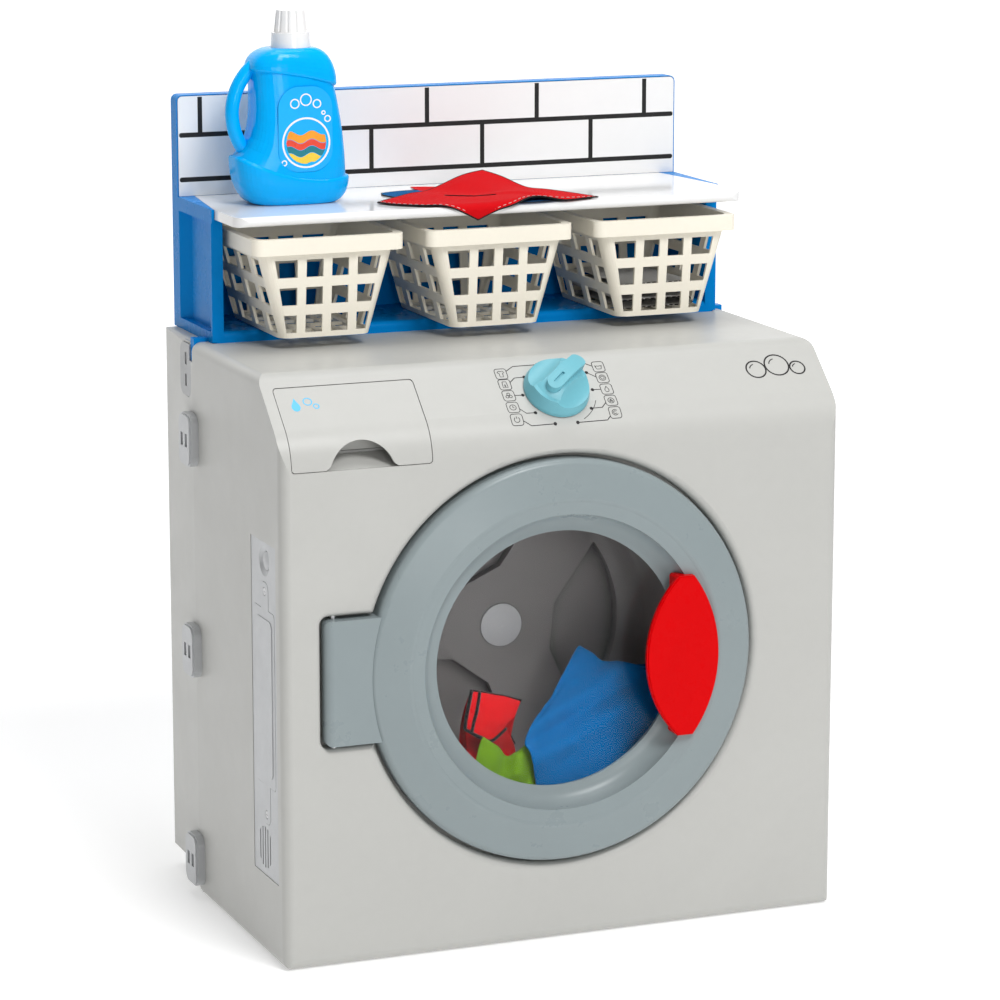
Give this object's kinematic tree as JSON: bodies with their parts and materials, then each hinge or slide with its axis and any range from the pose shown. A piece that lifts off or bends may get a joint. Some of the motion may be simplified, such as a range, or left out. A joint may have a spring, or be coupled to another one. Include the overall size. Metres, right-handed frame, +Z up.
{
  "type": "toy washing machine",
  "caption": "Toy front-loading washing machine with porthole door, spinning drum, pull-out drawer, turning dial, and a shelf hutch above with openwork baskets, a detergent bottle and cloths.",
  "frame": {"origin": "centre of the cabinet's footprint depth and width, on the floor: the underside of the cabinet is z 0, and y 0 is halfway between the cabinet's front and back faces", "axes": "+X is right as seen from the front, +Y is back, +Z is up"},
  "size_m": [0.496, 0.3284, 0.737],
  "materials": {
    "shell_white": "light warm grey, satin",
    "clip_silver": "silver grey, satin",
    "clip_dark": "mid grey, satin",
    "screw_steel": "bright zinc plated",
    "hutch_blue": "bright blue, satin",
    "tile_white": "white, glossy",
    "grout_black": "near black, matte",
    "inner_grey": "light grey, moulded",
    "inner_black": "black, moulded",
    "cell_wrap": "plain green wrap",
    "board_green": "plain green board",
    "wire_red": "red insulation",
    "ring_grey": "blue grey, satin",
    "window_clear": "clear, polished",
    "handle_red": "red, satin",
    "drum_grey": "dark warm grey, satin",
    "hub_grey": "mid grey, satin",
    "bush_cream": "natural, moulded",
    "dial_aqua": "aqua, satin",
    "basket_cream": "cream, satin",
    "cloth_white": "white cloth with dark stitching",
    "bottle_blue": "bright blue, glossy",
    "label_film": "light blue film",
    "fabric_red": "red cloth with dark edge stitching",
    "fabric_blue": "blue cloth",
    "fabric_green": "lime green cloth"
  },
  "bodies": {
    "cabinet": {"front_shell": "shell_white", "rear_shell": "shell_white", "side_clips": "clip_silver", "top_clips": "clip_dark", "shell_screws": "screw_steel", "hutch_frame": "hutch_blue", "tile_panel": "tile_white", "tile_grout": "grout_black", "shelf_board": "tile_white", "module_plate": "clip_silver", "module_box": "inner_grey", "battery_door": "clip_silver", "battery_door_screws": "screw_steel", "battery_cells": "cell_wrap", "battery_contacts": "screw_steel", "circuit_board": "board_green", "speaker": "inner_black", "wiring": "wire_red", "button_switch": "inner_black", "door_catch": "inner_black", "hinge_pin": "screw_steel", "drum_carrier": "inner_grey", "drum_bush": "bush_cream", "carrier_screws": "screw_steel", "drawer_guide": "inner_grey", "dial_switch": "inner_black", "cloth_red": "fabric_red", "cloth_blue": "fabric_blue", "laundry_blue": "fabric_blue", "laundry_red": "fabric_red", "laundry_green": "fabric_green"},
    "door": {"door_ring": "ring_grey", "door_window": "window_clear", "door_back": "ring_grey", "door_screws": "screw_steel", "door_handle": "handle_red", "door_latch": "ring_grey"},
    "drum": {"drum_pan": "drum_grey", "hub_cap": "hub_grey", "drum_axle": "screw_steel", "axle_nut": "screw_steel"},
    "drawer": {"drawer_front": "shell_white", "drawer_tray": "tile_white"},
    "dial": {"dial_knob": "dial_aqua", "dial_spindle": "bush_cream"},
    "left_basket": {"basket_left": "basket_cream"},
    "middle_basket": {"basket_middle": "basket_cream"},
    "right_basket": {"basket_right": "basket_cream", "basket_cloth": "cloth_white"},
    "bottle": {"bottle_body": "bottle_blue", "bottle_label": "label_film", "bottle_cap": "tile_white"},
    "button": {"power_button": "clip_silver"}
  },
  "joints": [
    {"name": "door_hinge", "type": "hinge", "parent": "cabinet", "child": "door", "pos_m": [-0.1965, -0.151, 0.232], "axis": [0, 0, -1], "range_deg": [0, 100]},
    {"name": "drum_spin", "type": "hinge", "parent": "cabinet", "child": "drum", "pos_m": [-0.004, -0.025, 0.232], "axis": [0, 1, 0], "continuous": true},
    {"name": "drawer_slide", "type": "slide", "parent": "cabinet", "child": "drawer", "axis": [0, -1, 0], "range_m": [0, 0.085]},
    {"name": "dial_turn", "type": "hinge", "parent": "cabinet", "child": "dial", "pos_m": [0.002, -0.12691, 0.44598], "axis": [0, -0.666, 0.7459], "continuous": true},
    {"name": "left_basket_slide", "type": "slide", "parent": "cabinet", "child": "left_basket", "axis": [0, -1, 0], "range_m": [0, 0.09]},
    {"name": "middle_basket_slide", "type": "slide", "parent": "cabinet", "child": "middle_basket", "axis": [0, -1, 0], "range_m": [0, 0.09]},
    {"name": "right_basket_slide", "type": "slide", "parent": "cabinet", "child": "right_basket", "axis": [0, -1, 0], "range_m": [0, 0.09]},
    {"name": "bottle_lift", "type": "slide", "parent": "cabinet", "child": "bottle", "axis": [0, 0, 1], "range_m": [0, 0.12]},
    {"name": "button_press", "type": "slide", "parent": "cabinet", "child": "button", "axis": [1, 0, 0], "range_m": [0, 0.002], "stiffness_N_per_m": 300}
  ]
}
